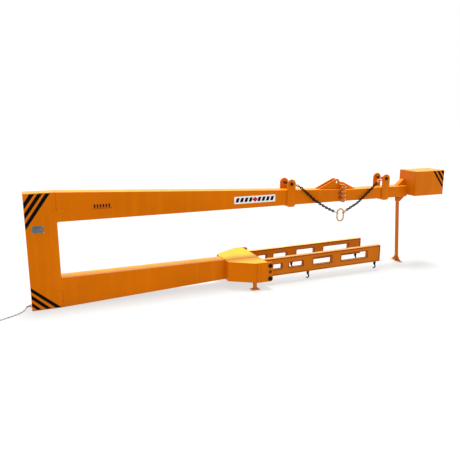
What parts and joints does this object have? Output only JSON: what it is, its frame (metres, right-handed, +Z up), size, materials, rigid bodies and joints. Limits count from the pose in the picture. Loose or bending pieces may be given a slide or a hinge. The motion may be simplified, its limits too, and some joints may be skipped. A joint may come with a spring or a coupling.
{
  "type": "spreader beam",
  "caption": "C-shaped container-loading spreader beam with a chain sling, counterweight, folding prop leg, slotted load rails with hooks, and a tag line.",
  "frame": {"origin": "centre of the column's base plate, on the ground", "axes": "+Z up, +X from the column along the boom to the counterweight, +Y to the far side of the beam"},
  "size_m": [8.264, 1.1345, 1.8],
  "materials": {
    "boom_paint": "gloss",
    "rail_paint": "satin",
    "coupling_paint": "satin",
    "dark_steel": "satin",
    "cast_ballast": "matte",
    "zinc_plate": "satin",
    "plate_metal": "satin",
    "master_finish": "satin",
    "rope_fibre": "matte"
  },
  "bodies": {
    "frame": {"ballast_block": "cast_ballast", "clevis_coupling_left": "coupling_paint", "clevis_coupling_right": "coupling_paint", "clevis_left": "boom_paint", "clevis_pin_left": "dark_steel", "clevis_pin_right": "dark_steel", "clevis_right": "boom_paint", "column": "boom_paint", "column_base_plate": "boom_paint", "column_top_cap": "boom_paint", "counterweight_box": "boom_paint", "counterweight_cover": "boom_paint", "counterweight_gusset": "boom_paint", "cross_shaft_lower": "dark_steel", "cross_shaft_upper": "dark_steel", "hook_lug_far_inner": "rail_paint", "hook_lug_far_outer": "rail_paint", "hook_lug_near_inner": "rail_paint", "hook_lug_near_outer": "rail_paint", "leg_bracket": "rail_paint", "leg_hinge_pin": "dark_steel", "lower_arm": "boom_paint", "lower_doubler_far": "boom_paint", "lower_doubler_near": "boom_paint", "lug_plate_far": "boom_paint", "lug_plate_near": "boom_paint", "nameplate": "plate_metal", "outer_gusset_far": "boom_paint", "outer_gusset_near": "boom_paint", "rail_far": "rail_paint", "rail_near": "rail_paint", "rope_eye": "rail_paint", "spacer_tube_lower": "rail_paint", "spacer_tube_upper": "rail_paint", "splice_bolts_far": "zinc_plate", "splice_bolts_near": "zinc_plate", "splice_flange_inner": "boom_paint", "splice_flange_outer": "boom_paint", "stub_foot_far": "rail_paint", "stub_foot_near": "rail_paint", "tag_line": "rope_fibre", "tag_line_coil": "rope_fibre", "upper_arm_inner": "boom_paint", "upper_arm_outer": "boom_paint", "upper_doubler_far": "boom_paint", "upper_doubler_near": "boom_paint", "yoke_body": "boom_paint", "yoke_cheek_far": "boom_paint", "yoke_cheek_near": "boom_paint"},
    "sling": {"chain_leg_left": "dark_steel", "chain_leg_right": "dark_steel", "master_coupling_left": "coupling_paint", "master_coupling_right": "coupling_paint"},
    "master_link": {"master_link": "master_finish"},
    "hook_near_inner": {"hook_near_inner": "dark_steel"},
    "hook_near_outer": {"hook_near_outer": "dark_steel"},
    "hook_far_inner": {"hook_far_inner": "dark_steel"},
    "hook_far_outer": {"hook_far_outer": "dark_steel"},
    "prop_leg": {"prop_leg": "rail_paint", "prop_leg_foot": "rail_paint"}
  },
  "joints": [
    {"name": "sling_swing", "type": "hinge", "parent": "frame", "child": "sling", "pos_m": [5.0545, -0.06, 1.653], "axis": [-1, 0, 0], "range_deg": [0, 165]},
    {"name": "master_link_swing", "type": "hinge", "parent": "sling", "child": "master_link", "pos_m": [5.0545, -0.163, 1.108], "axis": [1, 0, 0], "range_deg": [-25, 25]},
    {"name": "prop_leg_fold", "type": "hinge", "parent": "frame", "child": "prop_leg", "pos_m": [6.4795, 0.04, 1.245], "axis": [0, 1, 0], "range_deg": [0, 85]},
    {"name": "hook_near_inner_swing", "type": "hinge", "parent": "frame", "child": "hook_near_inner", "pos_m": [4.3395, -0.301, 0.12109], "axis": [0, 1, 0], "range_deg": [-60, 60]},
    {"name": "hook_near_outer_swing", "type": "hinge", "parent": "frame", "child": "hook_near_outer", "pos_m": [5.7645, -0.301, 0.1379], "axis": [0, 1, 0], "range_deg": [-60, 60]},
    {"name": "hook_far_inner_swing", "type": "hinge", "parent": "frame", "child": "hook_far_inner", "pos_m": [4.3395, 0.301, 0.12109], "axis": [0, 1, 0], "range_deg": [-60, 60]},
    {"name": "hook_far_outer_swing", "type": "hinge", "parent": "frame", "child": "hook_far_outer", "pos_m": [5.7645, 0.301, 0.1379], "axis": [0, 1, 0], "range_deg": [-60, 60]}
  ]
}
